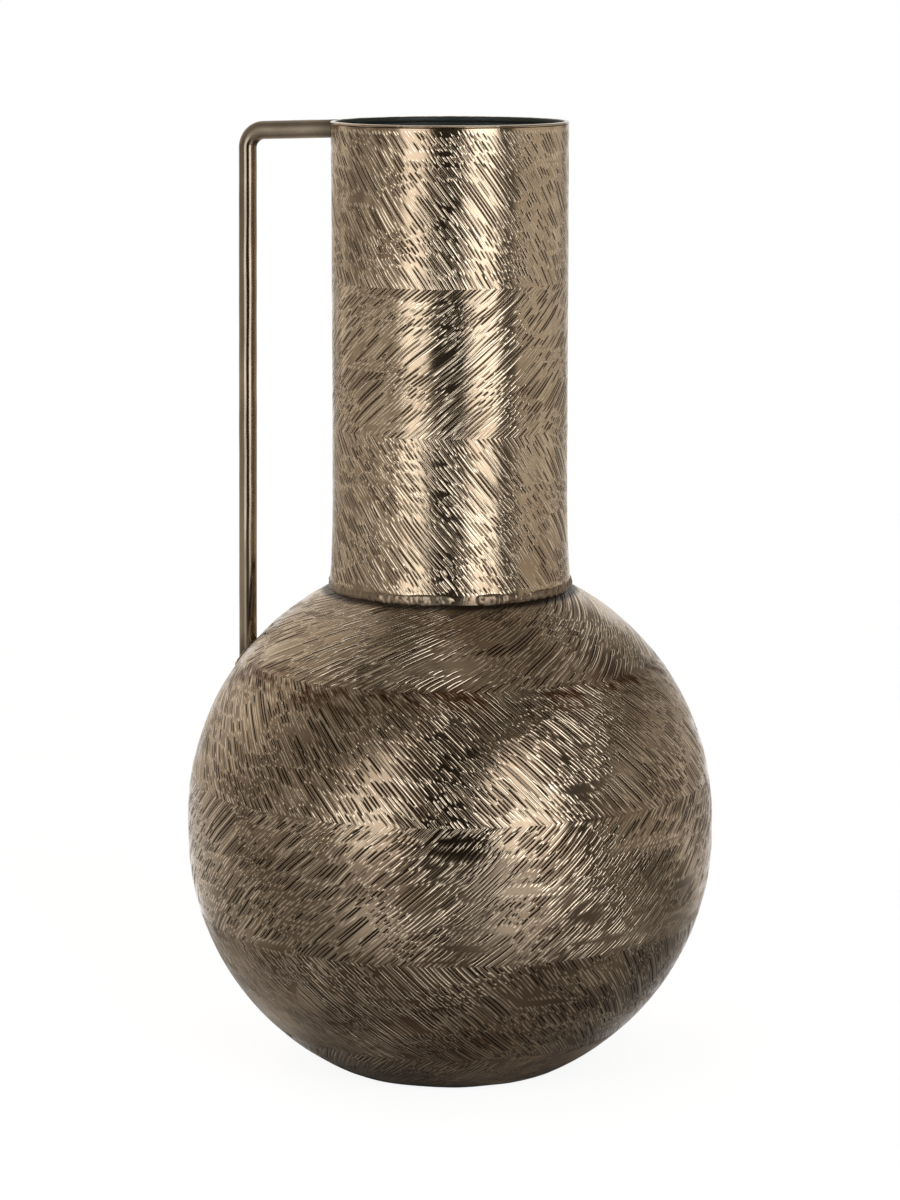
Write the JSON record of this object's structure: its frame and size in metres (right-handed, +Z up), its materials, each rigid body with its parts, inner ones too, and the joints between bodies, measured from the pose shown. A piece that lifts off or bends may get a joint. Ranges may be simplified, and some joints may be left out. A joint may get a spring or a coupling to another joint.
{
  "type": "urn vase",
  "caption": "Metal urn vase with a round hollow body, flat foot, tall straight neck with a rounded lip, and a square-bent rod handle from the lip down to the shoulder.",
  "frame": {"origin": "middle of the flat foot's underside, on the surface that the vase stands on", "axes": "+Z up along the axis of the body and neck; the handle lies in the plane Y = 0 on the -X side"},
  "size_m": [0.27, 0.27, 0.483],
  "materials": {
    "chased_bronze": "chased in herringbone bands, antique bronze patina, dark in the cuts",
    "smooth_bronze": "smooth satin antique bronze",
    "weld_bronze": "rippled weld bead under the same bronze patina"
  },
  "bodies": {
    "root": {"lower_bowl": "chased_bronze", "upper_bowl": "chased_bronze", "body_seam_weld": "chased_bronze", "neck_tube": "chased_bronze", "lip_ring": "smooth_bronze", "handle_rod": "smooth_bronze", "neck_weld": "weld_bronze", "handle_top_weld": "weld_bronze", "handle_foot_weld": "weld_bronze"}
  },
  "joints": []
}
